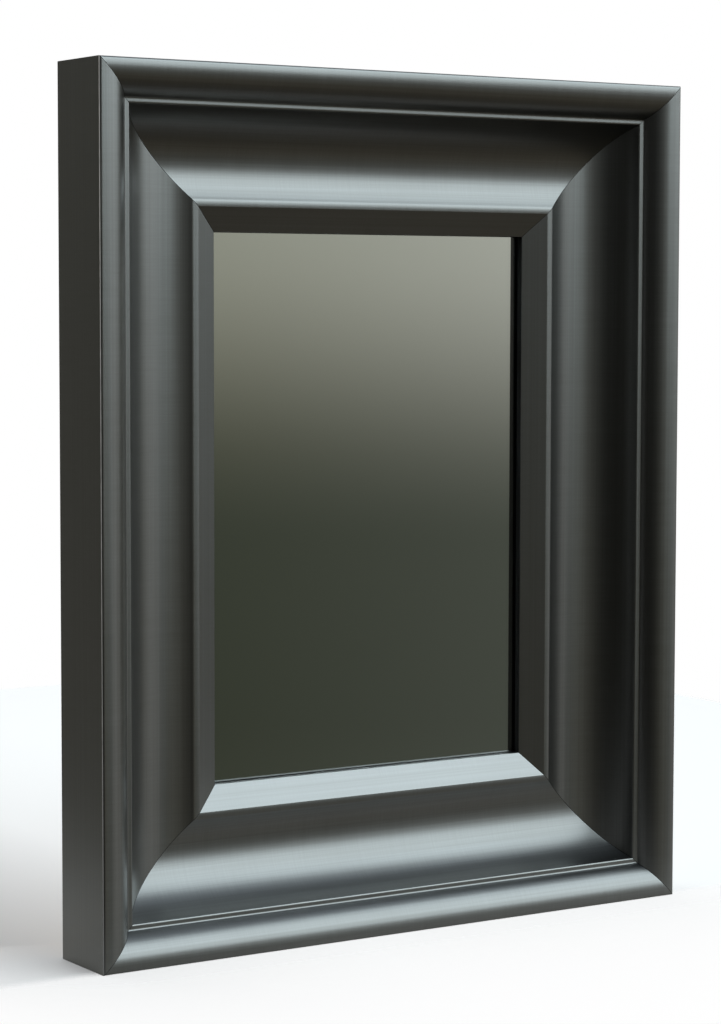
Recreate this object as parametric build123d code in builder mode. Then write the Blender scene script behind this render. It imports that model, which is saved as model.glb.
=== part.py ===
"""Framed wall mirror: four mitred rails of scoop moulding round a flat silvered glass.

Millimetres. X runs to the viewer's right, Y from the front to the wall, Z up. The frame stands on its
bottom edge at z = 0, with the origin under the middle of the whole mirror. "Left" and "right" are the
viewer's.
"""

import os

from build123d import *

# ---- overall size ---------------------------------------------------------------------------
frame_width = 460.0
frame_height = 575.0

# ---- moulding, across its face from the outer edge to the sight edge --------------------------
roll_width = 23.6           # quarter-round along the outer edge
roll_crest_inset = 5.4      # highest line of the roll, from the outer edge
fillet_width = 3.7          # narrow flat between the roll and the cove
cove_width = 58.2           # the wide scoop
cove_floor_inset = 39.2     # deepest line of the scoop, from the fillet
ridge_width = 4.3           # narrow crowned band inside the scoop
bevel_width = 16.2          # slope down to the sight edge
rabbet_width = 7.0          # how far the lip covers the glass and its backing, with the side gap

# ---- moulding, depths behind the front outer edge ---------------------------------------------
roll_crest_rise = 0.4       # the crest stands this far in front of the outer edge
fillet_depth = 12.1
cove_drop = 28.3            # from the fillet to the scoop's floor
ridge_rise = 5.1            # from the scoop's floor forward to the ridge
ridge_crown = 0.15
bevel_drop = 8.1            # from the ridge back to the sight edge
lip_thickness = 5.0
outer_edge_radius = 1.2
fine_edge_radius = 0.4      # softened arrises of the fillet, ridge and sight edge

# ---- glass and backing ------------------------------------------------------------------------
glass_thickness = 3.0
glass_edge_chamfer = 0.4
foam_thickness = 2.5
board_thickness = 3.0
board_gap = 0.1             # between the board and the turn buttons
pane_side_gap = 1.0         # round the glass, foam and board, inside the rabbet

# ---- V-nails in the mitres --------------------------------------------------------------------
nail_wing = 6.0
nail_steel = 0.6
nail_depth = 12.0
nail_first_inset = 10.0     # of the outermost nail's corner, from both outer edges
nail_spacing = 35.0
nails_per_mitre = 3

# ---- turn buttons and their screws ------------------------------------------------------------
button_reach = 16.0         # pivot to tip
button_pivot_end_radius = 4.5
button_tip_radius = 3.2
button_thickness = 1.0
stamped_edge_radius = 0.25  # on the outer side of the buttons
button_rabbet_gap = 8.0     # pivot to the rabbet's wall
button_corner_inset = 60.0  # button to the nearest corner of the glass
button_screw_radius = 1.45
button_screw_length = 12.0
button_head_radius = 2.9
button_head_height = 1.8
button_hole_gap = 0.08      # running clearance, all round the screw
button_lift_gap = 0.08      # between the button and the screw's head

# ---- hangers ----------------------------------------------------------------------------------
hook_drop = 140.0           # top edge of the frame to the wall hooks
hanger_inset = 50.0         # outer edge to the hanger's centre line
ring_wire_radius = 1.5
ring_eye_width = 17.0
ring_leg = 4.0              # straight stretch of each side of the ring
ring_corner_radius = 3.0    # bends beside the bar, on the wire's centre line
ring_bar_gap = 0.08         # running clearance of the bar in its curl
strap_width = 13.0
strap_thickness = 1.2
strap_slit = 0.8            # between the curl's end and the strap
strap_tail = 8.0            # last hole to the end of the strap
strap_tail_radius = 6.0     # at the two corners of that end
strap_first_hole = 24.0     # ring's bar to the first hole
strap_hole_spacing = 14.0
strap_hole_gap = 0.25
hanger_screw_radius = 1.75
hanger_screw_length = 14.0
hanger_head_radius = 3.4
hanger_head_height = 2.2

# ---- screws of both kinds ---------------------------------------------------------------------
screw_tip = 3.0             # length of the point
screw_tip_radius = 0.25
head_edge_share = 0.55      # of a pan head's height that its rounding takes
recess_width = 0.7
recess_span = 0.62          # of the head's diameter
recess_depth_share = 0.5    # of the head's height

# ---- wall bumpers -----------------------------------------------------------------------------
bumper_radius = 6.35
bumper_height = 5.0
bumper_edge_radius = 1.2
bumper_inset = 26.0         # bumper's centre from the bottom and side edges

# ---- sizes that follow ------------------------------------------------------------------------
fillet_inset = roll_width + fillet_width
ridge_inset = fillet_inset + cove_width
bevel_inset = ridge_inset + ridge_width
rail_width = bevel_inset + bevel_width
cove_depth = fillet_depth + cove_drop
ridge_depth = cove_depth - ridge_rise
sight_depth = ridge_depth + bevel_drop
rabbet_depth = glass_thickness + foam_thickness + board_thickness + board_gap
lip_back = sight_depth + lip_thickness
frame_depth = lip_back + rabbet_depth
rabbet_inset = rail_width - rabbet_width

overall_depth = roll_crest_rise + frame_depth + bumper_height
half_width = frame_width / 2
middle_z = frame_height / 2
back_y = overall_depth / 2 - bumper_height
front_y = back_y - frame_depth

pane_width = frame_width - 2 * (rabbet_inset + pane_side_gap)
pane_height = frame_height - 2 * (rabbet_inset + pane_side_gap)

ring_half_width = ring_eye_width / 2 + ring_wire_radius
ring_drop = ring_corner_radius + ring_leg + ring_half_width
hook_reach = ring_drop - ring_wire_radius
curl_inner_radius = ring_wire_radius + ring_bar_gap
curl_outer_radius = curl_inner_radius + strap_thickness
pivot_z = frame_height - hook_drop - hook_reach
hanger_x = half_width - hanger_inset


def save(part, name):
    """Label a finished piece and write it to its own file."""
    part.label = name
    export_step(part, f"parts/{name}.step")


os.makedirs("parts", exist_ok=True)

# ---- the moulding's section: x is inset from the outer edge, y is depth behind it ---------------
with BuildSketch() as moulding:
    with BuildLine():
        Line((rabbet_inset, frame_depth), (0, frame_depth))
        Line((0, frame_depth), (0, 0))
        crest = (roll_crest_inset, -roll_crest_rise)
        TangentArc(crest, (0, 0), tangent=(-1, 0))
        TangentArc(crest, (roll_width, fillet_depth), tangent=(1, 0))
        Line((roll_width, fillet_depth), (fillet_inset, fillet_depth))
        cove_floor = (fillet_inset + cove_floor_inset, cove_depth)
        TangentArc(cove_floor, (fillet_inset, fillet_depth), tangent=(-1, 0))
        TangentArc(cove_floor, (ridge_inset, ridge_depth), tangent=(1, 0))
        SagittaArc((ridge_inset, ridge_depth), (bevel_inset, ridge_depth), -ridge_crown)
        Line((bevel_inset, ridge_depth), (rail_width, sight_depth))
        Line((rail_width, sight_depth), (rail_width, lip_back))
        Line((rail_width, lip_back), (rabbet_inset, lip_back))
        Line((rabbet_inset, lip_back), (rabbet_inset, frame_depth))
    make_face()
    fillet(moulding.vertices().sort_by_distance((0, 0))[0], outer_edge_radius)
    for soft_edge in (
        (fillet_inset, fillet_depth),
        (bevel_inset, ridge_depth),
        (rail_width, sight_depth),
    ):
        fillet(moulding.vertices().sort_by_distance(soft_edge)[0], fine_edge_radius)

# ---- V-nails: one wing in each rail, the corner on the mitre -------------------------------------
corners = [
    (-half_width, frame_height, 1, -1),
    (half_width, frame_height, -1, -1),
    (-half_width, 0, 1, 1),
    (half_width, 0, -1, 1),
]
with BuildPart() as corner_v_nails:
    with BuildSketch(Plane.XZ.offset(-back_y)):
        for corner_x, corner_z, inward_x, inward_z in corners:
            for index in range(nails_per_mitre):
                inset = nail_first_inset + index * nail_spacing
                nail_x = corner_x + inward_x * inset
                nail_z = corner_z + inward_z * inset
                with Locations((nail_x + inward_x * nail_wing / 2, nail_z + inward_z * nail_steel / 2)):
                    Rectangle(nail_wing, nail_steel)
                with Locations((nail_x + inward_x * nail_steel / 2, nail_z + inward_z * nail_wing / 2)):
                    Rectangle(nail_steel, nail_wing)
    extrude(amount=nail_depth)
save(corner_v_nails.part, "corner_v_nails")

# ---- where the buttons and hangers stand ---------------------------------------------------------
button_across = pane_width / 2 - button_corner_inset
button_along = pane_height / 2 - button_corner_inset
pivot_inset = rabbet_inset - button_rabbet_gap
button_top_z = frame_height - pivot_inset
button_side_x = half_width - pivot_inset

# name: (pivot x, pivot z, direction of the arm at rest as degrees from +X towards +Z)
buttons = {
    "turn_button_top_left": (-button_across, button_top_z, -90),
    "turn_button_top_right": (button_across, button_top_z, -90),
    "turn_button_bottom_left": (-button_across, pivot_inset, 90),
    "turn_button_bottom_right": (button_across, pivot_inset, 90),
    "turn_button_left_upper": (-button_side_x, middle_z + button_along, 0),
    "turn_button_left_lower": (-button_side_x, middle_z - button_along, 0),
    "turn_button_right_upper": (button_side_x, middle_z + button_along, 180),
    "turn_button_right_lower": (button_side_x, middle_z - button_along, 180),
}
button_points = [(x, z) for x, z, _ in buttons.values()]

strap_hole_drops = [strap_first_hole, strap_first_hole + strap_hole_spacing]
hanger_points = [(side * hanger_x, pivot_z - drop) for side in (-1, 1) for drop in strap_hole_drops]


def make_screws(points, seat_y, radius, length, head_radius, head_height):
    """Pan-head screws at (x, z) points, heads seated at seat_y, points towards the front."""
    with BuildPart() as screws:
        for x, z in points:
            head_plane = Plane(origin=(x, seat_y, z), x_dir=(1, 0, 0), z_dir=(0, 1, 0))
            with BuildSketch(Plane(origin=(x, seat_y, z), x_dir=(1, 0, 0), z_dir=(0, 0, 1))):
                with BuildLine():
                    Polyline(
                        (0, -length),
                        (screw_tip_radius, -length),
                        (radius, screw_tip - length),
                        (radius, 0),
                        (head_radius, 0),
                        (head_radius, head_height * (1 - head_edge_share)),
                    )
                    EllipticalCenterArc(
                        (0, head_height * (1 - head_edge_share)),
                        head_radius,
                        head_height * head_edge_share,
                        start_angle=0,
                        arc_size=90,
                    )
                    Line((0, head_height), (0, -length))
                make_face()
            revolve(axis=Axis((x, seat_y, z), (0, 1, 0)))
            with BuildSketch(head_plane.offset(head_height)):
                Rectangle(2 * head_radius * recess_span, recess_width)
                Rectangle(recess_width, 2 * head_radius * recess_span)
            extrude(amount=-head_height * recess_depth_share, mode=Mode.SUBTRACT)
    return screws.part


button_screws = make_screws(
    button_points,
    back_y + button_thickness + button_lift_gap,
    button_screw_radius,
    button_screw_length,
    button_head_radius,
    button_head_height,
)
save(button_screws, "turn_button_screws")

hanger_screws = make_screws(
    hanger_points,
    back_y + strap_thickness,
    hanger_screw_radius,
    hanger_screw_length,
    hanger_head_radius,
    hanger_head_height,
)
save(hanger_screws, "hanger_screws")


# ---- rails: the section run along one side and cut at 45 degrees at both ends --------------------
def make_rail(seat, length):
    """seat: x_dir points inward, z_dir along the rail, from the outer front corner."""
    start_mitre = Plane(origin=seat.origin, z_dir=seat.z_dir - seat.x_dir)
    end_mitre = Plane(origin=seat.origin + seat.z_dir * length, z_dir=-seat.z_dir - seat.x_dir)
    with BuildPart() as rail:
        with BuildSketch(seat):
            add(moulding.sketch)
        extrude(amount=length)
        split(bisect_by=start_mitre, keep=Keep.TOP)
        split(bisect_by=end_mitre, keep=Keep.TOP)
        add(corner_v_nails.part, mode=Mode.SUBTRACT)
        add(button_screws, mode=Mode.SUBTRACT)
        add(hanger_screws, mode=Mode.SUBTRACT)
    return rail.part


rails = {
    "top_rail": (Plane((-half_width, front_y, frame_height), x_dir=(0, 0, -1), z_dir=(1, 0, 0)), frame_width),
    "bottom_rail": (Plane((half_width, front_y, 0), x_dir=(0, 0, 1), z_dir=(-1, 0, 0)), frame_width),
    "left_stile": (Plane((-half_width, front_y, 0), x_dir=(1, 0, 0), z_dir=(0, 0, 1)), frame_height),
    "right_stile": (Plane((half_width, front_y, frame_height), x_dir=(-1, 0, 0), z_dir=(0, 0, -1)), frame_height),
}
for name, (seat, length) in rails.items():
    save(make_rail(seat, length), name)

# ---- glass, foam and board, stacked in the rabbet from the lip to the back -----------------------
glass_front = front_y + lip_back
foam_front = glass_front + glass_thickness
board_front = foam_front + foam_thickness


def pane_plane(front):
    """Plane of a pane's front face, with its normal towards the wall."""
    return Plane(origin=(0, front, middle_z), x_dir=(1, 0, 0), z_dir=(0, 1, 0))


with BuildPart() as mirror_glass:
    with BuildSketch(pane_plane(glass_front)):
        Rectangle(pane_width, pane_height)
    extrude(amount=glass_thickness)
    chamfer(mirror_glass.faces().sort_by(Axis.Y)[0].edges(), glass_edge_chamfer)
    chamfer(mirror_glass.faces().sort_by(Axis.Y)[-1].edges(), glass_edge_chamfer)
save(mirror_glass.part, "mirror_glass")

with BuildPart() as foam_pad:
    with BuildSketch(pane_plane(foam_front)):
        Rectangle(pane_width, pane_height)
    extrude(amount=foam_thickness)
save(foam_pad.part, "foam_pad")

with BuildPart() as backing_board:
    with BuildSketch(pane_plane(board_front)):
        Rectangle(pane_width, pane_height)
    extrude(amount=board_thickness)
save(backing_board.part, "backing_board")


# ---- turn buttons --------------------------------------------------------------------------------
def make_button(x, z, heading):
    """Flat steel tongue lying on the frame's back, broad at the screw and narrow at the tip."""
    seat = Plane(origin=(x, back_y, z), x_dir=Vector(1, 0, 0).rotate(Axis.Y, -heading), z_dir=(0, 1, 0))
    with BuildPart() as button:
        with BuildSketch(seat):
            Circle(button_pivot_end_radius)
            with Locations((button_reach - button_tip_radius, 0)):
                Circle(button_tip_radius)
            make_hull()
            Circle(button_screw_radius + button_hole_gap, mode=Mode.SUBTRACT)
        extrude(amount=button_thickness)
        fillet(button.faces().sort_by(Axis.Y)[-1].outer_wire().edges(), stamped_edge_radius)
    return button.part


for name, (x, z, heading) in buttons.items():
    save(make_button(x, z, heading), name)


# ---- hangers: a strap curled round the straight bar of a D-ring ----------------------------------
def make_strap(x):
    """Two-hole strap below its curl; the curl's axis is the ring's bar."""
    tail_drop = strap_first_hole + strap_hole_spacing + strap_tail
    side_plane = Plane(origin=(x, back_y, pivot_z), x_dir=(0, 1, 0), z_dir=(1, 0, 0))
    back_plane = Plane(origin=(x, back_y, pivot_z), x_dir=(1, 0, 0), z_dir=(0, 1, 0))
    with BuildPart() as strap:
        with BuildSketch(side_plane):
            with Locations((curl_outer_radius, 0)):
                Circle(curl_outer_radius)
            with Locations((strap_thickness / 2, -tail_drop / 2)):
                Rectangle(strap_thickness, tail_drop)
            with Locations((curl_outer_radius, 0)):
                Circle(curl_inner_radius, mode=Mode.SUBTRACT)
            with Locations((strap_thickness + strap_slit / 2, -curl_outer_radius / 2)):
                Rectangle(strap_slit, curl_outer_radius, mode=Mode.SUBTRACT)
        extrude(amount=strap_width / 2, both=True)
        with BuildSketch(back_plane):
            with Locations(*[(0, drop) for drop in strap_hole_drops]):
                Circle(hanger_screw_radius + strap_hole_gap)
        extrude(amount=strap_thickness, mode=Mode.SUBTRACT)
        fillet(strap.edges().filter_by(Axis.Y).group_by(Axis.Z)[0], strap_tail_radius)
    return strap.part


def make_ring(x):
    """D-ring of round wire, hanging from its bar: one half swept, the other mirrored."""
    ring_plane = Plane(origin=(x, back_y + curl_outer_radius, pivot_z), x_dir=(1, 0, 0), z_dir=(0, -1, 0))
    bar_end = ring_half_width - ring_corner_radius
    leg_end = ring_corner_radius + ring_leg
    with BuildPart() as ring:
        with BuildLine(ring_plane) as wire:
            Line((0, 0), (bar_end, 0))
            CenterArc((bar_end, -ring_corner_radius), ring_corner_radius, 90, -90)
            Line((ring_half_width, -ring_corner_radius), (ring_half_width, -leg_end))
            CenterArc((0, -leg_end), ring_half_width, 0, -90)
        with BuildSketch(Plane(origin=ring_plane.origin, z_dir=(1, 0, 0))):
            Circle(ring_wire_radius)
        sweep(path=wire.wires()[0])
        mirror(about=Plane.YZ.offset(x))
    return ring.part


for side, x in (("left", -hanger_x), ("right", hanger_x)):
    save(make_strap(x), f"{side}_hanger_strap")
    save(make_ring(x), f"{side}_hanger_ring")

# ---- rubber bumpers at the lower corners ---------------------------------------------------------
for side, x in (("left", bumper_inset - half_width), ("right", half_width - bumper_inset)):
    foot = Plane(origin=(x, back_y, bumper_inset), x_dir=(1, 0, 0), z_dir=(0, 1, 0))
    with BuildPart() as bumper:
        with BuildSketch(foot):
            Circle(bumper_radius)
        extrude(amount=bumper_height)
        fillet(bumper.faces().sort_by(Axis.Y)[-1].edges(), bumper_edge_radius)
    save(bumper.part, f"{side}_wall_bumper")
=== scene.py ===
"""Framed wall mirror: the finish of every piece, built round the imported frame.

Metres, in the part's own frame: X to the viewer's right, Y from the front to the wall, Z up, with the
frame standing on z = 0. The four rails, the glass, the foam and the V-nails are modelled again in finer
detail; the fittings on the back keep their CAD shapes and get their finish here.
"""

import math

import bmesh
import bpy
from mathutils import Matrix, Vector


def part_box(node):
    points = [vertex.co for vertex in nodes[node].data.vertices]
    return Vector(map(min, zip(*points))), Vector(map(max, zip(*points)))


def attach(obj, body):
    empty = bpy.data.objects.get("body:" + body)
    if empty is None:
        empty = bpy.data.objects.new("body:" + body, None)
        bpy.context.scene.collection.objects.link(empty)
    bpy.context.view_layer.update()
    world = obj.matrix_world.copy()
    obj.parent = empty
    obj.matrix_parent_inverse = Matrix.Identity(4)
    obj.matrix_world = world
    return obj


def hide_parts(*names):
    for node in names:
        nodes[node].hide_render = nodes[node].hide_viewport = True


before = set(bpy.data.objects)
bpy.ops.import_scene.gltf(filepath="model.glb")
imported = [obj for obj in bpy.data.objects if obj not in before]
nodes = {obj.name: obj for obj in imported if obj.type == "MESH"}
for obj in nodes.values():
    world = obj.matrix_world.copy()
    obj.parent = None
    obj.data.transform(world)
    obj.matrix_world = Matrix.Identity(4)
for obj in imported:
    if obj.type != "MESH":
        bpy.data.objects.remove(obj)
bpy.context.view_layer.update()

MM = 0.001

# ---- the moulding's section: insets from the outer edge, depths behind its front -------------------
# As in the CAD.
roll_width = 23.6 * MM
roll_crest_rise = 0.4 * MM
fillet_width = 3.7 * MM
fillet_depth = 12.1 * MM
cove_width = 58.2 * MM
cove_floor_inset = 39.2 * MM    # deepest line of the cove, from the fillet
cove_drop = 28.3 * MM           # from the fillet to the cove's floor
ridge_width = 4.3 * MM
ridge_rise = 5.1 * MM           # from the cove's floor forward to the ridge
ridge_crown = 0.15 * MM
bevel_drop = 8.1 * MM
lip_thickness = 5.0 * MM
fine_edge_radius = 0.4 * MM     # the ridge's inner edge and the sight edge

# The finish's own: where the highlights lie, and how the foil goes round the corners.
roll_crest_inset = 4.4 * MM     # 1 mm nearer to the outer edge than in the CAD
ridge_lean = 0.10 * MM          # the ridge's outer edge lies this much deeper than its inner one
outer_edge_radius = 1.8 * MM    # 1.2 mm in the CAD
fillet_edge_radius = 1.6 * MM   # the foil bridges both corners of the fillet
ridge_edge_radius = 4.5 * MM    # and the shallow corner where the cove meets the ridge
back_edge_radius = 0.6 * MM
foil_wrap = 4.0 * MM            # the foil turns this far onto the raw back
groove_depth = 0.35 * MM        # hairline at each mitre
groove_half_width = 0.14 * MM

# How fine the section's outline is.
outline_step = 1.2 * MM         # longest straight stretch between two points
arc_step = math.radians(1.5)
edge_steps = 8                  # facets in a softened edge
touching = 1e-6                 # a point nearer than this to a line lies on it
sharp_angle = math.radians(32)  # an edge that bends more than this isn't shaded smooth

# ---- wear and painted highlight: 0 is none, 1 is burnished as bright as it gets --------------------
usual_wear = (0.3, (1.0, 1.0))  # of the front arris; and the share of all wear at the rail's two ends
left_wear_and_highlight = (1.0, (0.0, 1.0))   # painted highlight on its front arris; it and all its wear fade to nothing at its foot

# ---- glass and foam --------------------------------------------------------------------------------
glass_chamfer = 0.4 * MM
foam_chamfer = 0.5 * MM
foam_gap = 0.1 * MM             # between the glass's painted back and the foam

# ---- V-nails, as in the CAD ------------------------------------------------------------------------
nail_wing = 6.0 * MM
nail_steel = 0.6 * MM
nail_depth = 12.0 * MM
nail_proud = 0.05 * MM
nail_first_inset = 10.0 * MM
nail_spacing = 35.0 * MM
nails_per_mitre = 3

# ---- the order of a rail's materials and of the glass's --------------------------------------------
FOIL, TIMBER, MITRE_JOINT, RABBET_PAINT = range(4)
CLEAR_FACE, GROUND_EDGE, SILVERED_BACK = range(3)

# ---- sizes read from the frame ---------------------------------------------------------------------
stile_low, stile_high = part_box("left_stile")
rail_width = stile_high.x - stile_low.x
front_y = stile_low.y + roll_crest_rise
back_y = stile_high.y
frame_depth = back_y - front_y
frame_height = stile_high.z - stile_low.z
half_width = -stile_low.x
bottom_z = stile_low.z
top_z = bottom_z + frame_height
glass_low, glass_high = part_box("mirror_glass")
rabbet_side_gap = 1.0 * MM
rabbet_inset = glass_low.x + half_width - rabbet_side_gap

fillet_inset = roll_width + fillet_width
ridge_inset = fillet_inset + cove_width
bevel_inset = ridge_inset + ridge_width
cove_depth = fillet_depth + cove_drop
ridge_depth = cove_depth - ridge_rise
sight_depth = ridge_depth + bevel_drop
lip_back = sight_depth + lip_thickness


# ====================================================================================================
# the moulding's outline
# ====================================================================================================
def straight(points, end):
    """Run on to end in short steps."""
    start, end = Vector(points[-1]), Vector(end)
    count = max(1, math.ceil((end - start).length / outline_step))
    points += [start.lerp(end, i / count) for i in range(1, count + 1)]


def arc_from(start, end, tangent):
    """Points of the arc from start to end that leaves start along tangent, both ends included."""
    start, end, tangent = Vector(start), Vector(end), Vector(tangent).normalized()
    chord = end - start
    across = Vector((-tangent.y, tangent.x))
    centre = start + across * chord.length_squared / (2 * chord.dot(across))
    sweep = 2 * math.atan2(tangent.cross(chord), tangent.dot(chord))
    count = max(2, math.ceil(abs(sweep) / arc_step))
    turns = (Matrix.Rotation(sweep * i / count, 2) for i in range(count + 1))
    return [centre + turn @ (start - centre) for turn in turns]


def step_along(points, at, direction, distance):
    """Walk the closed outline from point number at; give the point reached and the next one's number."""
    here, number = points[at], at
    while True:
        ahead = points[(number + direction) % len(points)]
        gap = (ahead - here).length
        if gap > distance:
            return here.lerp(ahead, distance / gap), (number + direction) % len(points)
        distance -= gap
        here, number = ahead, (number + direction) % len(points)


def soften(points, corner, radius):
    """Round one corner of the closed outline, and give the new outline with the rounding's points."""
    corner = Vector(corner)
    at = min(range(len(points)), key=lambda i: (points[i] - corner).length)
    before = (points[at] - points[at - 1]).normalized()
    after = (points[(at + 1) % len(points)] - points[at]).normalized()
    cut = radius * math.tan(before.angle(after) / 2)
    start, last_kept = step_along(points, at, -1, cut)
    end, first_kept = step_along(points, at, 1, cut)
    rounding = []
    for i in range(edge_steps + 1):
        t = i / edge_steps
        rounding.append(start * (1 - t) ** 2 + corner * 2 * t * (1 - t) + end * t**2)
    kept = []
    number = first_kept
    while number != last_kept:
        kept.append(points[number])
        number = (number + 1) % len(points)
    kept.append(points[last_kept])
    return kept + rounding, rounding


def make_outline(front_wear_and_highlight):
    """The section's closed outline, from the foil's edge on the back round the face to the rabbet.

    With it come the marked points and how much each carries: wear, and on the left stile's front arris a
    painted highlight."""
    points = [Vector((foil_wrap, frame_depth))]
    straight(points, (0, frame_depth))
    straight(points, (0, 0))
    crest = (roll_crest_inset, -roll_crest_rise)
    points += arc_from(crest, (0, 0), (-1, 0))[-2::-1]
    points += arc_from(crest, (roll_width, fillet_depth), (1, 0))[1:]
    straight(points, (fillet_inset, fillet_depth))
    cove_floor = (fillet_inset + cove_floor_inset, cove_depth)
    points += arc_from(cove_floor, (fillet_inset, fillet_depth), (-1, 0))[-2::-1]
    points += arc_from(cove_floor, (ridge_inset, ridge_depth + ridge_lean), (1, 0))[1:]
    crown = Vector(((ridge_inset + bevel_inset) / 2, ridge_depth + ridge_lean / 2 - ridge_crown))
    lean = Vector((ridge_width, -ridge_lean))
    points += arc_from(crown, (ridge_inset, ridge_depth + ridge_lean), -lean)[-2::-1]
    points += arc_from(crown, (bevel_inset, ridge_depth), lean)[1:]
    straight(points, (rail_width, sight_depth))
    straight(points, (rail_width, lip_back))
    straight(points, (rabbet_inset, lip_back))
    straight(points, (rabbet_inset, frame_depth))
    straight(points, (foil_wrap, frame_depth))
    points.pop()
    worn_and_highlighted = {}
    for corner, radius, wear_and_highlight, marked_part in (
        ((0, frame_depth), back_edge_radius, 0.6, slice(1, -1)),
        ((0, 0), outer_edge_radius, front_wear_and_highlight, slice(1, 4)),
        ((roll_width, fillet_depth), fillet_edge_radius, 0.0, slice(0)),
        ((fillet_inset, fillet_depth), fillet_edge_radius, 0.1, slice(3, -1)),
        ((ridge_inset, ridge_depth + ridge_lean), ridge_edge_radius, 0.0, slice(0)),
        ((bevel_inset, ridge_depth), fine_edge_radius, 0.0, slice(0)),
        ((rail_width, sight_depth), fine_edge_radius, 0.2, slice(1, -1)),
    ):
        points, rounding = soften(points, corner, radius)
        worn_and_highlighted |= {tuple(point): wear_and_highlight for point in rounding[marked_part]}
    return points, worn_and_highlighted


def shrunk(points, distance):
    """The closed outline moved inwards by a small distance."""
    moved = []
    for i, point in enumerate(points):
        along = (points[(i + 1) % len(points)] - points[i - 1]).normalized()
        moved.append(point + Vector((-along.y, along.x)) * distance)
    return moved


def finish_at(u, v):
    """Which of the rail's materials covers the outline's stretch through (u, v)."""
    if v > frame_depth - touching and u > foil_wrap:
        return TIMBER
    in_rabbet = u > rabbet_inset - touching and v > lip_back - touching
    on_lip = u > rail_width - touching
    return RABBET_PAINT if in_rabbet or on_lip else FOIL


# ====================================================================================================
# meshes
# ====================================================================================================
def close_form(form, name):
    """Turn a finished form's faces outwards and give its mesh."""
    bmesh.ops.recalc_face_normals(form, faces=form.faces)
    mesh = bpy.data.meshes.new(name)
    form.to_mesh(mesh)
    form.free()
    return mesh


def finish_piece(mesh, name, replaced, materials):
    """Make the object of a piece, hang it on the frame, and hide the CAD part that it stands for."""
    piece = bpy.data.objects.new(name, mesh)
    bpy.context.scene.collection.objects.link(piece)
    for material in materials:
        mesh.materials.append(material)
    mesh.set_sharp_from_angle(angle=sharp_angle)
    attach(piece, "frame")
    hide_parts(replaced)
    return piece


def make_rail(name, corner, along, inward, length, wear_and_highlight_plan, materials):
    """One mitred rail. corner is the outer front corner that it starts from."""
    front_wear_and_highlight, (start_share, end_share) = wear_and_highlight_plan
    outline, worn_and_highlighted = make_outline(front_wear_and_highlight)
    inset_outline = shrunk(outline, groove_depth)
    sideways = groove_half_width * math.sqrt(2)
    stations = (
        (inset_outline, lambda u: u, start_share),
        (outline, lambda u: u + sideways, start_share),
        (outline, lambda u: length - u - sideways, end_share),
        (inset_outline, lambda u: length - u, end_share),
    )
    stretches = list(zip(outline, outline[1:] + outline[:1]))
    reach = [0.0]
    for start, end in stretches:
        reach.append(reach[-1] + (end - start).length)
    finishes = [finish_at(*((start + end) / 2)) for start, end in stretches]

    form = bmesh.new()
    wear_and_highlight = form.verts.layers.float.new("edge_wear_and_highlight")
    bevel_highlight = form.verts.layers.float.new("bevel_highlight")
    side_shade = form.verts.layers.float.new("side_shade")
    uv = form.loops.layers.uv.new("rail_uv")
    rings = []
    for section, place, wear_and_highlight_share in stations:
        ring = []
        for point, full in zip(section, outline):
            s = place(point.x)
            vertex = form.verts.new(corner + along * s + inward * point.x + Vector((0, point.y, 0)))
            on_bevel = bevel_inset < point.x and point.y < sight_depth + MM
            vertex[wear_and_highlight] = worn_and_highlighted.get(tuple(full), 0.0) * wear_and_highlight_share
            # painted highlight: the sight bevel is marked to render paler
            vertex[bevel_highlight] = 1.0 if on_bevel else 0.0
            # painted shade: the outer side face is marked to render darker and browner
            vertex[side_shade] = 1.0 if full.x < touching else 0.0
            ring.append((vertex, s))
        rings.append(ring)
    for span, (first, second) in enumerate(zip(rings, rings[1:])):
        in_groove = span != 1
        for i, finish in enumerate(finishes):
            j = (i + 1) % len(outline)
            face = form.faces.new((first[i][0], first[j][0], second[j][0], second[i][0]))
            face.material_index = MITRE_JOINT if in_groove and finish == FOIL else finish
            face.smooth = True
            places = (
                (first[i][1], reach[i]),
                (first[j][1], reach[i + 1]),
                (second[j][1], reach[i + 1]),
                (second[i][1], reach[i]),
            )
            for loop, spot in zip(face.loops, places):
                loop[uv].uv = spot
    for ring in (rings[0], rings[-1]):
        cap = form.faces.new([vertex for vertex, _ in ring])
        cap.material_index = TIMBER
        for loop in cap.loops:
            loop[uv].uv = (loop.vert.co.y, loop.vert.co.x + loop.vert.co.z)
    finish_piece(close_form(form, name), name + "_moulding", name, materials)


def make_slab(name, low, high, chamfer, edge_finish=0, back_finish=0):
    """The mesh of a closed slab facing along Y with chamfered edges all round."""
    form = bmesh.new()
    rings = []
    for y, inset in ((low.y, chamfer), (low.y + chamfer, 0), (high.y - chamfer, 0), (high.y, chamfer)):
        x0, x1, z0, z1 = low.x + inset, high.x - inset, low.z + inset, high.z - inset
        rings.append([form.verts.new((x, y, z)) for x, z in ((x0, z0), (x1, z0), (x1, z1), (x0, z1))])
    form.faces.new(rings[0])
    form.faces.new(rings[-1]).material_index = back_finish
    for first, second in zip(rings, rings[1:]):
        for i in range(4):
            j = (i + 1) % 4
            side = form.faces.new((first[i], first[j], second[j], second[i]))
            side.material_index = edge_finish
    return close_form(form, name)


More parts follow.
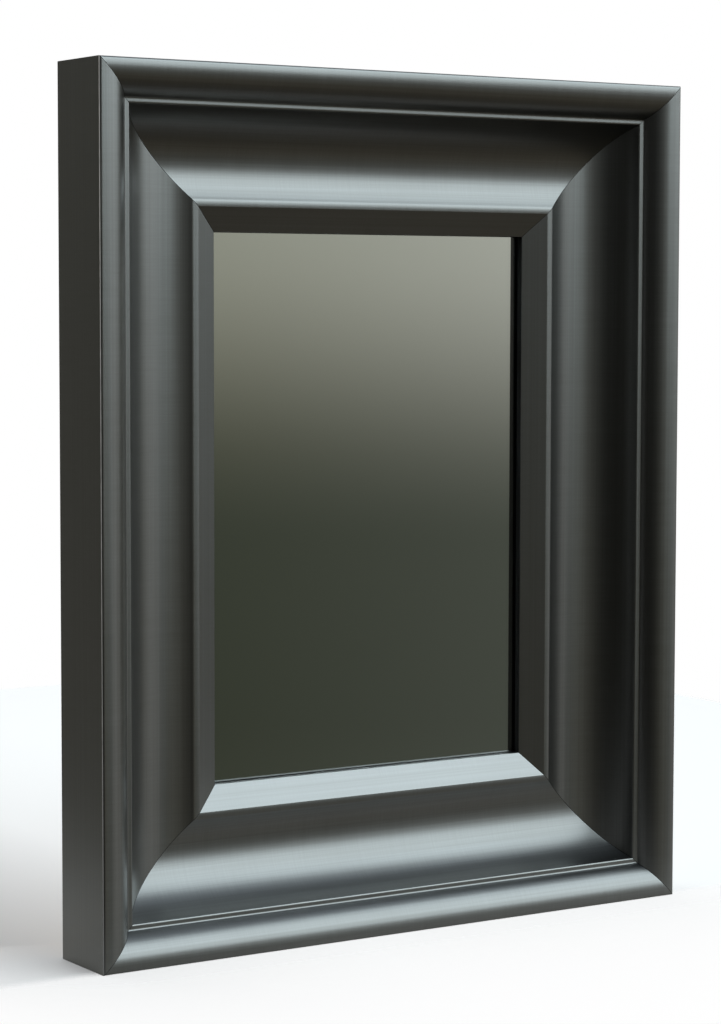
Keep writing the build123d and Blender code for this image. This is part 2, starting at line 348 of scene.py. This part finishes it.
def make_v_nails(materials):
    """Three V-shaped steel nails in each mitre, their heads a hair proud of the rails' back."""
    form = bmesh.new()
    centre_z = bottom_z + frame_height / 2
    outline = (
        (0, 0),
        (nail_wing, 0),
        (nail_wing, nail_steel),
        (nail_steel, nail_steel),
        (nail_steel, nail_wing),
        (0, nail_wing),
    )
    insets = [nail_first_inset + index * nail_spacing for index in range(nails_per_mitre)]
    for side_x, side_z, inset in ((x, z, inset) for x in (-1, 1) for z in (-1, 1) for inset in insets):
        rings = []
        for y in (back_y - nail_depth, back_y + nail_proud):
            ring = []
            for u, v in outline:
                x = side_x * (half_width - inset - u)
                z = centre_z + side_z * (frame_height / 2 - inset - v)
                ring.append(form.verts.new((x, y, z)))
            rings.append(ring)
            form.faces.new(ring)
        for i in range(len(outline)):
            j = (i + 1) % len(outline)
            form.faces.new((rings[0][i], rings[0][j], rings[1][j], rings[1][i]))
    finish_piece(close_form(form, "v_nails"), "v_nails", "corner_v_nails", materials)


# ====================================================================================================
# node helpers
# ====================================================================================================
def feed(tree, socket, value):
    """Link a socket or set a number or colour on it."""
    if isinstance(value, bpy.types.NodeSocket):
        tree.links.new(value, socket)
    else:
        socket.default_value = value


def add_node(tree, kind, inputs=None, **settings):
    made = tree.nodes.new(kind)
    for name, value in settings.items():
        setattr(made, name, value)
    for name, value in (inputs or {}).items():
        feed(tree, made.inputs[name], value)
    return made


def new_material(name, **sockets):
    """A Principled material, with plain values set on the shader's own sockets."""
    material = bpy.data.materials.new(name)
    material.use_nodes = True
    shader = material.node_tree.nodes["Principled BSDF"]
    for socket, value in sockets.items():
        shader.inputs[socket].default_value = value
    return material, material.node_tree, shader


def rail_place(tree):
    """Metres along the rail and round its section."""
    return add_node(tree, "ShaderNodeUVMap", uv_map="rail_uv").outputs[0]


def object_place(tree):
    return add_node(tree, "ShaderNodeTexCoord").outputs["Object"]


def vertex_value(tree, name):
    return add_node(tree, "ShaderNodeAttribute", attribute_name=name).outputs["Fac"]


def vector_maths(tree, how, first, second=(0, 0, 0)):
    return add_node(tree, "ShaderNodeVectorMath", {0: first, 1: second}, operation=how).outputs


def noise(tree, vector, scale, stretch=(1, 1, 1), detail=3.0, roughness=0.55):
    """Noise from 0 to 1, with vector first multiplied by stretch."""
    stretched = vector_maths(tree, "MULTIPLY", vector, stretch)[0]
    inputs = {"Vector": stretched, "Scale": scale, "Detail": detail, "Roughness": roughness}
    return add_node(tree, "ShaderNodeTexNoise", inputs).outputs["Fac"]


def spread(tree, value, low, high, from_low=0.3, from_high=0.7, smooth=False):
    """Map from_low..from_high, by default the middle of a noise, onto low..high."""
    made = add_node(
        tree,
        "ShaderNodeMapRange",
        {0: value, 1: from_low, 2: from_high, 3: low, 4: high},
        interpolation_type="SMOOTHSTEP" if smooth else "LINEAR",
    )
    return made.outputs[0]


def mix_colour(tree, factor, first, second, how="MIX"):
    inputs = {0: factor, 6: first, 7: second}
    return add_node(tree, "ShaderNodeMix", inputs, data_type="RGBA", blend_type=how).outputs[2]


def combine(tree, first, second, how="ADD"):
    return add_node(tree, "ShaderNodeMath", {0: first, 1: second}, operation=how).outputs[0]


def product(tree, first, second):
    return combine(tree, first, second, "MULTIPLY")


def bump(tree, shader, height, distance):
    made = add_node(tree, "ShaderNodeBump", {"Height": height, "Distance": distance, "Strength": 1.0})
    tree.links.new(made.outputs["Normal"], shader.inputs["Normal"])


def rgb(red, green, blue):
    return (red, green, blue, 1.0)


# ====================================================================================================
# materials
# ====================================================================================================
def foil_material():
    """Satin gunmetal foil: fine lines across each rail, faint streaks along it and a soft cloud.

    The outer side is darker and browner as a painted shade, and the sight bevel paler as a painted
    highlight.
    Worn arrises are burnished; on the left stile's front arris the burnish is also a painted highlight."""
    material, tree, shader = new_material("gunmetal_foil", Metallic=1.0, Anisotropic=0.08)
    shader.inputs["Anisotropic Rotation"].default_value = 0.25
    place = rail_place(tree)
    tangent = add_node(tree, "ShaderNodeTangent", direction_type="UV_MAP", uv_map="rail_uv").outputs[0]
    feed(tree, shader.inputs["Tangent"], tangent)
    fine_lines = noise(tree, place, 1.0, (3800, 55, 1), 2.0)
    broad_lines = noise(tree, place, 1.0, (900, 14, 1), 2.0)
    streaks = noise(tree, place, 1.0, (2.5, 700, 1), 4.0, 0.7)
    cloud = noise(tree, place, 14.0, detail=4.0)
    lines = combine(tree, product(tree, fine_lines, 0.6), product(tree, broad_lines, 0.4))
    contrast = spread(tree, lines, 0.0, 1.0, 0.25, 0.75)
    colour = mix_colour(tree, contrast, rgb(0.193, 0.197, 0.194), rgb(0.236, 0.241, 0.238))
    for share, tint in (
        (spread(tree, streaks, 0.0, 0.45, 0.33, 0.67), rgb(0.145, 0.143, 0.134)),
        (spread(tree, cloud, 0.0, 0.14), rgb(0.150, 0.148, 0.142)),
        # painted shade on the outer side face, darker and browner
        (product(tree, vertex_value(tree, "side_shade"), 0.36), rgb(0.140, 0.136, 0.108)),
        # painted highlight on the sight bevel, paler
        (product(tree, vertex_value(tree, "bevel_highlight"), 0.2), rgb(0.330, 0.335, 0.335)),
    ):
        colour = mix_colour(tree, share, colour, tint)
    # pale burnished arrises: wear, and on the left stile's front arris a painted highlight that fades
    # towards its foot
    patchiness = spread(tree, noise(tree, place, 90.0, (1, 3, 1), 4.0), 0.45, 1.0, 0.35, 0.7)
    worn_and_highlighted = product(tree, vertex_value(tree, "edge_wear_and_highlight"), patchiness)
    feed(tree, shader.inputs["Base Color"], mix_colour(tree, worn_and_highlighted, colour, rgb(0.60, 0.60, 0.57)))
    feed(tree, shader.inputs["Roughness"], spread(tree, lines, 0.29, 0.34))
    bump(tree, shader, combine(tree, lines, product(tree, streaks, 2.4)), 0.004 * MM)
    return material


def joint_material():
    """Dark filler and shadow in the hairline of each mitre."""
    material, tree, shader = new_material("mitre_joint", Roughness=0.7)
    grit = noise(tree, rail_place(tree), 900.0)
    colour = mix_colour(tree, grit, rgb(0.010, 0.009, 0.008), rgb(0.035, 0.032, 0.028))
    feed(tree, shader.inputs["Base Color"], colour)
    return material


def rabbet_paint_material():
    """Matt black paint on the sight edge and in the rabbet, so that the glass mirrors no raw wood."""
    material, tree, shader = new_material("rabbet_paint", Roughness=0.6)
    brushing = noise(tree, rail_place(tree), 1.0, (30, 900, 1), 3.0)
    colour = mix_colour(tree, brushing, rgb(0.008, 0.008, 0.008), rgb(0.022, 0.021, 0.020))
    feed(tree, shader.inputs["Base Color"], colour)
    bump(tree, shader, brushing, 0.03 * MM)
    return material


def timber_material():
    """Bare pine on the back of the rails: long grain along each one, saw marks across it."""
    material, tree, shader = new_material("bare_pine", Roughness=0.72)
    place = rail_place(tree)
    grain = noise(tree, place, 1.0, (16, 420, 1), 5.0)
    figure = noise(tree, place, 1.0, (3.2, 46, 1), 3.0)
    colour = mix_colour(tree, spread(tree, figure, 0, 1), rgb(0.62, 0.44, 0.25), rgb(0.74, 0.57, 0.36))
    dark_grain = spread(tree, grain, 0.0, 0.45, 0.45, 0.7)
    colour = mix_colour(tree, dark_grain, colour, rgb(0.42, 0.26, 0.13))
    feed(tree, shader.inputs["Base Color"], colour)
    marks = noise(tree, place, 1.0, (700, 20, 1), 1.0)
    bump(tree, shader, combine(tree, grain, marks), 0.06 * MM)
    return material


def glass_material():
    """Clear float glass with the slight green of its iron."""
    material, tree, shader = new_material("float_glass", Roughness=0.0, IOR=1.52)
    shader.inputs["Transmission Weight"].default_value = 1.0
    cloud = noise(tree, object_place(tree), 3.0)
    colour = mix_colour(tree, cloud, rgb(0.955, 0.985, 0.965), rgb(0.965, 0.99, 0.975))
    feed(tree, shader.inputs["Base Color"], colour)
    return material


def ground_glass_material():
    """The cut and ground edges of the glass."""
    material, tree, shader = new_material("ground_glass_edge", IOR=1.52)
    shader.inputs["Transmission Weight"].default_value = 0.6
    grit = noise(tree, object_place(tree), 2200.0)
    colour = mix_colour(tree, grit, rgb(0.42, 0.58, 0.50), rgb(0.60, 0.74, 0.67))
    feed(tree, shader.inputs["Base Color"], colour)
    feed(tree, shader.inputs["Roughness"], spread(tree, grit, 0.35, 0.6))
    return material


def silver_material():
    """The silvering on the back of the glass."""
    material, tree, shader = new_material("silvering", Metallic=1.0, Roughness=0.0)
    cloud = noise(tree, object_place(tree), 5.0)
    colour = mix_colour(tree, cloud, rgb(0.90, 0.91, 0.90), rgb(0.92, 0.93, 0.92))
    feed(tree, shader.inputs["Base Color"], colour)
    return material


def foam_material():
    """White closed-cell foam."""
    material, tree, shader = new_material("white_foam_sheet", Roughness=0.85)
    inputs = {"Vector": object_place(tree), "Scale": 900.0}
    cells = add_node(tree, "ShaderNodeTexVoronoi", inputs).outputs["Distance"]
    colour = mix_colour(tree, cells, rgb(0.76, 0.76, 0.73), rgb(0.88, 0.88, 0.86))
    feed(tree, shader.inputs["Base Color"], colour)
    bump(tree, shader, cells, 0.15 * MM)
    return material


def hardboard_material():
    """Smooth brown hardboard: pressed fibres with darker flecks."""
    material, tree, shader = new_material("hardboard_brown")
    place = object_place(tree)
    fibres = noise(tree, place, 260.0, (1, 1, 0.35), 6.0)
    cloud = noise(tree, place, 9.0, detail=5.0)
    flecks = spread(tree, noise(tree, place, 700.0, (1, 1, 0.5), 2.0), 0.0, 0.7, 0.62, 0.72)
    colour = mix_colour(tree, spread(tree, cloud, 0, 1), rgb(0.235, 0.125, 0.060), rgb(0.300, 0.170, 0.085))
    colour = mix_colour(tree, spread(tree, fibres, 0.0, 0.5), colour, rgb(0.36, 0.22, 0.12))
    colour = mix_colour(tree, flecks, colour, rgb(0.10, 0.05, 0.025))
    feed(tree, shader.inputs["Base Color"], colour)
    feed(tree, shader.inputs["Roughness"], spread(tree, fibres, 0.42, 0.58))
    bump(tree, shader, fibres, 0.04 * MM)
    return material


def zinc_material():
    """Bright zinc plating on pressed steel, with a soft mottle and rubbing scratches."""
    material, tree, shader = new_material("zinc_plate", Metallic=1.0)
    place = object_place(tree)
    mottle = noise(tree, place, 480.0, detail=3.0)
    scratches = noise(tree, place, 1500.0, (1, 1, 0.08), 2.0)
    colour = mix_colour(tree, spread(tree, mottle, 0, 1), rgb(0.56, 0.57, 0.58), rgb(0.70, 0.70, 0.69))
    feed(tree, shader.inputs["Base Color"], colour)
    rubbing = combine(tree, mottle, scratches)
    feed(tree, shader.inputs["Roughness"], spread(tree, rubbing, 0.24, 0.42, 0.7, 1.3))
    bump(tree, shader, scratches, 0.012 * MM)
    return material


def rubber_material():
    """Matt black rubber with a moulded grain and a little dust."""
    material, tree, shader = new_material("black_rubber_moulded")
    place = object_place(tree)
    grain = noise(tree, place, 1900.0, detail=2.0)
    dust = spread(tree, noise(tree, place, 160.0, detail=5.0), 0.0, 0.35, 0.5, 0.75)
    colour = mix_colour(tree, dust, rgb(0.022, 0.022, 0.023), rgb(0.075, 0.072, 0.068))
    feed(tree, shader.inputs["Base Color"], colour)
    feed(tree, shader.inputs["Roughness"], spread(tree, grain, 0.6, 0.8))
    bump(tree, shader, grain, 0.03 * MM)
    return material


# ====================================================================================================
# the pieces
# ====================================================================================================
rail_materials = (foil_material(), timber_material(), joint_material(), rabbet_paint_material())
X, Z = Vector((1, 0, 0)), Vector((0, 0, 1))
top_left = Vector((-half_width, front_y, top_z))
bottom_right = Vector((half_width, front_y, bottom_z))
bottom_left = Vector((-half_width, front_y, bottom_z))
top_right = Vector((half_width, front_y, top_z))
for name, corner, along, inward, length, wear_and_highlight_plan in (
    ("top_rail", top_left, X, -Z, 2 * half_width, usual_wear),
    ("bottom_rail", bottom_right, -X, Z, 2 * half_width, usual_wear),
    ("left_stile", bottom_left, Z, X, frame_height, left_wear_and_highlight),
    ("right_stile", top_right, -Z, -X, frame_height, usual_wear),
):
    make_rail(name, corner, along, inward, length, wear_and_highlight_plan, rail_materials)

glass_mesh = make_slab("mirror_pane", glass_low, glass_high, glass_chamfer, GROUND_EDGE, SILVERED_BACK)
glass_materials = (glass_material(), ground_glass_material(), silver_material())
finish_piece(glass_mesh, "mirror_pane", "mirror_glass", glass_materials)

foam_low, foam_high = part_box("foam_pad")
foam_low.y += foam_gap
foam_mesh = make_slab("foam_sheet", foam_low, foam_high, foam_chamfer)
foam = finish_piece(foam_mesh, "foam_sheet", "foam_pad", (foam_material(),))

zinc = zinc_material()
make_v_nails((zinc,))

finishes = {
    "hardboard": hardboard_material(),
    "zinc_steel": zinc,
    "black_rubber": rubber_material(),
}
for node in nodes.values():
    for slot in node.material_slots:
        if slot.material and slot.material.name in finishes:
            slot.material = finishes[slot.material.name]


# ====================================================================================================
# the studio: a pale floor that fades out, a far wide softbox, a smaller one behind, and a quiet room
# ====================================================================================================
WHITE = (1, 1, 1)

floor_reach = 3.0               # from the middle to each edge
floor_colour = (0.91, 0.88, 0.85)
floor_glow = 0.30               # of its own, so that it reads as white
left_shade_fade = (-0.30, -0.05)      # x from no glow, a painted shade on the floor left of the object, to all of it
left_fade = (-0.41, -0.20)      # x from no floor to all of it
right_fade = (0.5, 0.9)         # x from all of the floor to none
front_fade = (-0.040, -0.012)   # y from the apron to all of the floor
back_fade = (0.6, 1.2)          # y from all of the floor to none
apron_cover = 0.50              # how solid the floor still is just in front of the object
apron_reach = 0.10              # and the distance over which it thins out

room_bands = (                  # elevation in degrees, colour
    (-90, (0.046, 0.040, 0.029)),
    (-53, (0.052, 0.045, 0.032)),
    (-42, (0.080, 0.070, 0.051)),
    (-32, (0.132, 0.115, 0.085)),
    (-19, (0.166, 0.146, 0.106)),
    (-13, (0.136, 0.116, 0.074)),
    (-8.5, (0.095, 0.084, 0.053)),
    (-3, (0.137, 0.130, 0.090)),
    (1.5, (0.272, 0.272, 0.224)),
    (6, (0.380, 0.392, 0.380)),
    (30, (0.430, 0.460, 0.475)),
    (58, (0.370, 0.430, 0.500)),
    (90, (0.280, 0.330, 0.400)),
)
dark_side_heading = 255
dark_side_shades = (            # cosine of the angle from that heading, level
    (0.15, (1.0, 1.0, 1.0)),
    (0.45, (0.60, 0.60, 0.60)),
    (0.65, (0.30, 0.30, 0.30)),
    (0.82, (0.13, 0.13, 0.13)),
)
room_patches = (    # colour, strength; heading, half width, fade; elevation, half height, fade (degrees)
    ((0.036, 0.035, 0.022), 0.85, (322, 18, 14), (20, 30, 10)),
    (WHITE, 0.34, (124, 10, 20), (-2, 7, 10)),
    (WHITE, 1.00, (23, 31, 10), (-40, 62, 16)),
    (WHITE, 0.85, (284, 15, 3.5), (-40, 62, 16)),
    (WHITE, 0.85, (306, 26, 14), (-54, 24, 22)),
    ((0.024, 0.031, 0.022), 0.84, (147.2, 3.9, 2.5), (-12, 7, 6)),
)

softboxes = (       # name; heading, elevation; distance; half width, half height; radiance, colour
    ("key_softbox", (136, 29.2), 9.0, (36, 21.2), 2.65, (0.832, 0.955, 1.0)),
    ("back_softbox", (-10, 55), 2.4, (18, 14), 2.1, (1.0, 0.99, 0.97)),
)


def heading_vector(heading, elevation=0.0):
    """Unit vector at a heading from +Y towards +X; both angles in degrees."""
    heading, elevation = math.radians(heading), math.radians(elevation)
    level = math.cos(elevation)
    return Vector((math.sin(heading) * level, math.cos(heading) * level, math.sin(elevation)))


def seen_directly(tree):
    """1 for camera, glossy and transmission rays, 0 for the rays that carry diffuse light."""
    path = add_node(tree, "ShaderNodeLightPath").outputs
    seen = combine(tree, path["Is Camera Ray"], path["Is Glossy Ray"], "MAXIMUM")
    return combine(tree, seen, path["Is Transmission Ray"], "MAXIMUM")


def make_floor():
    """Pale floor round the object's foot.

    It fades out towards the room on every side and is thinner, as an apron, in front of the object."""
    material, tree, shader = new_material("pale_floor", Roughness=0.9)
    shader.inputs["Base Color"].default_value = rgb(*floor_colour)
    shader.inputs["Specular IOR Level"].default_value = 0.2
    x, y, _ = add_node(tree, "ShaderNodeSeparateXYZ", {0: object_place(tree)}).outputs
    left = spread(tree, x, 0.0, 1.0, *left_fade, smooth=True)
    right = spread(tree, x, 1.0, 0.0, *right_fade, smooth=True)
    front = spread(tree, y, 0.0, 1.0, *front_fade, smooth=True)
    back = spread(tree, y, 1.0, 0.0, *back_fade, smooth=True)
    decay = combine(tree, product(tree, y, 1 / apron_reach), 0.0, "EXPONENT")
    front = combine(tree, product(tree, decay, apron_cover), front, "MAXIMUM")
    shown = product(tree, product(tree, left, right), product(tree, front, back))
    # no glow on the floor left of the object: painted shade where its shadow falls
    glow = product(tree, seen_directly(tree), spread(tree, x, 0.0, floor_glow, *left_shade_fade))
    white = add_node(tree, "ShaderNodeEmission", {"Color": rgb(*WHITE), "Strength": glow}).outputs[0]
    lit = add_node(tree, "ShaderNodeAddShader", {0: shader.outputs[0], 1: white}).outputs[0]
    clear = add_node(tree, "ShaderNodeBsdfTransparent").outputs[0]
    surface = add_node(tree, "ShaderNodeMixShader", {0: shown, 1: clear, 2: lit}).outputs[0]
    feed(tree, tree.nodes["Material Output"].inputs["Surface"], surface)
    mesh = bpy.data.meshes.new("studio_floor")
    r = floor_reach
    mesh.from_pydata([(-r, -r, 0), (r, -r, 0), (r, r, 0), (-r, r, 0)], [], [(0, 1, 2, 3)])
    mesh.materials.append(material)
    floor = bpy.data.objects.new("studio_floor", mesh)
    bpy.context.scene.collection.objects.link(floor)


def make_softbox(name, aim, distance, half_angles, radiance, colour):
    """Rectangular area lamp aimed at the object's middle.

    aim is its heading and elevation, and half_angles its half width and half height as seen from the
    object, all in degrees."""
    lamp = bpy.data.lights.new(name, "AREA")
    lamp.shape = "RECTANGLE"
    lamp.size, lamp.size_y = (2 * distance * math.tan(math.radians(angle)) for angle in half_angles)
    lamp.energy = radiance * math.pi * lamp.size * lamp.size_y
    lamp.color = colour
    softbox = bpy.data.objects.new(name, lamp)
    direction = heading_vector(*aim)
    softbox.location = Vector((0, 0, frame_height / 2)) + direction * distance
    softbox.rotation_euler = direction.to_track_quat("Z", "Y").to_euler()
    softbox.visible_camera = False
    bpy.context.scene.collection.objects.link(softbox)


def colour_ramp(tree, value, stops):
    """Colours over value, from (position, colour) stops in rising order."""
    ramp = add_node(tree, "ShaderNodeValToRGB", {0: value})
    elements = ramp.color_ramp.elements
    for number, (position, colour) in enumerate(stops):
        stop = elements[number] if number < 2 else elements.new(position)
        stop.position = position
        stop.color = rgb(*colour)
    return ramp.outputs[0]


def within(tree, angle, strength, half_span, fade):
    """strength up to half_span degrees, and down to nothing over the next fade degrees."""
    edges = (math.radians(half_span), math.radians(half_span + fade))
    return spread(tree, angle, strength, 0.0, *edges, smooth=True)


def make_world():
    """Quiet room: dim brown ground, paler from the horizon up, and dull on the left.

    Its patches of white or dark are there only for camera, glossy and transmission rays."""
    world = bpy.data.worlds.new("studio_room")
    bpy.context.scene.world = world
    world.use_nodes = True
    tree = world.node_tree
    direction = add_node(tree, "ShaderNodeTexCoord").outputs["Generated"]
    height = add_node(tree, "ShaderNodeSeparateXYZ", {0: direction}).outputs[2]
    level = spread(tree, height, 0.0, 1.0, -1.0, 1.0)
    stops = [((math.sin(math.radians(angle)) + 1) / 2, colour) for angle, colour in room_bands]
    bands = colour_ramp(tree, level, stops)
    aside = vector_maths(tree, "DOT_PRODUCT", direction, heading_vector(dark_side_heading))["Value"]
    colour = mix_colour(tree, 1.0, bands, colour_ramp(tree, aside, dark_side_shades), "MULTIPLY")
    flat_direction = vector_maths(tree, "MULTIPLY", direction, (1, 1, 0))[0]
    flat_direction = vector_maths(tree, "NORMALIZE", flat_direction)[0]
    elevation = combine(tree, height, 0.0, "ARCSINE")
    seen = seen_directly(tree)
    for tint, strength, (heading, *width), (centre, *tallness) in room_patches:
        cosine = vector_maths(tree, "DOT_PRODUCT", flat_direction, heading_vector(heading))["Value"]
        sideways = combine(tree, cosine, 0.0, "ARCCOSINE")
        upwards = combine(tree, elevation, math.radians(centre), "SUBTRACT")
        upwards = combine(tree, upwards, 0.0, "ABSOLUTE")
        across = within(tree, sideways, strength, *width)
        along = within(tree, upwards, 1.0, *tallness)
        colour = mix_colour(tree, product(tree, product(tree, across, along), seen), colour, rgb(*tint))
    background = tree.nodes["Background"]
    feed(tree, background.inputs["Color"], colour)
    background.inputs["Strength"].default_value = 1.0


make_floor()
for softbox in softboxes:
    make_softbox(*softbox)
make_world()

# ---- camera ----------------------------------------------------------------------------------------
camera_lens = 100.2
camera_place = Vector((-1.0575, -1.6013, 0.4262))
camera_heading = math.radians(32.99)    # from +Y towards +X
camera_tilt = math.radians(-4.29)
camera_roll = math.radians(0.11)
camera_data = bpy.data.cameras.new("photo_view")
camera_data.lens = camera_lens
camera = bpy.data.objects.new("photo_view", camera_data)
bpy.context.scene.collection.objects.link(camera)
camera.matrix_world = (
    Matrix.Translation(camera_place)
    @ Matrix.Rotation(-camera_heading, 4, "Z")
    @ Matrix.Rotation(math.pi / 2 + camera_tilt, 4, "X")
    @ Matrix.Rotation(camera_roll, 4, "Z")
)
bpy.context.scene.camera = camera
bpy.context.scene.view_settings.view_transform = "Standard"
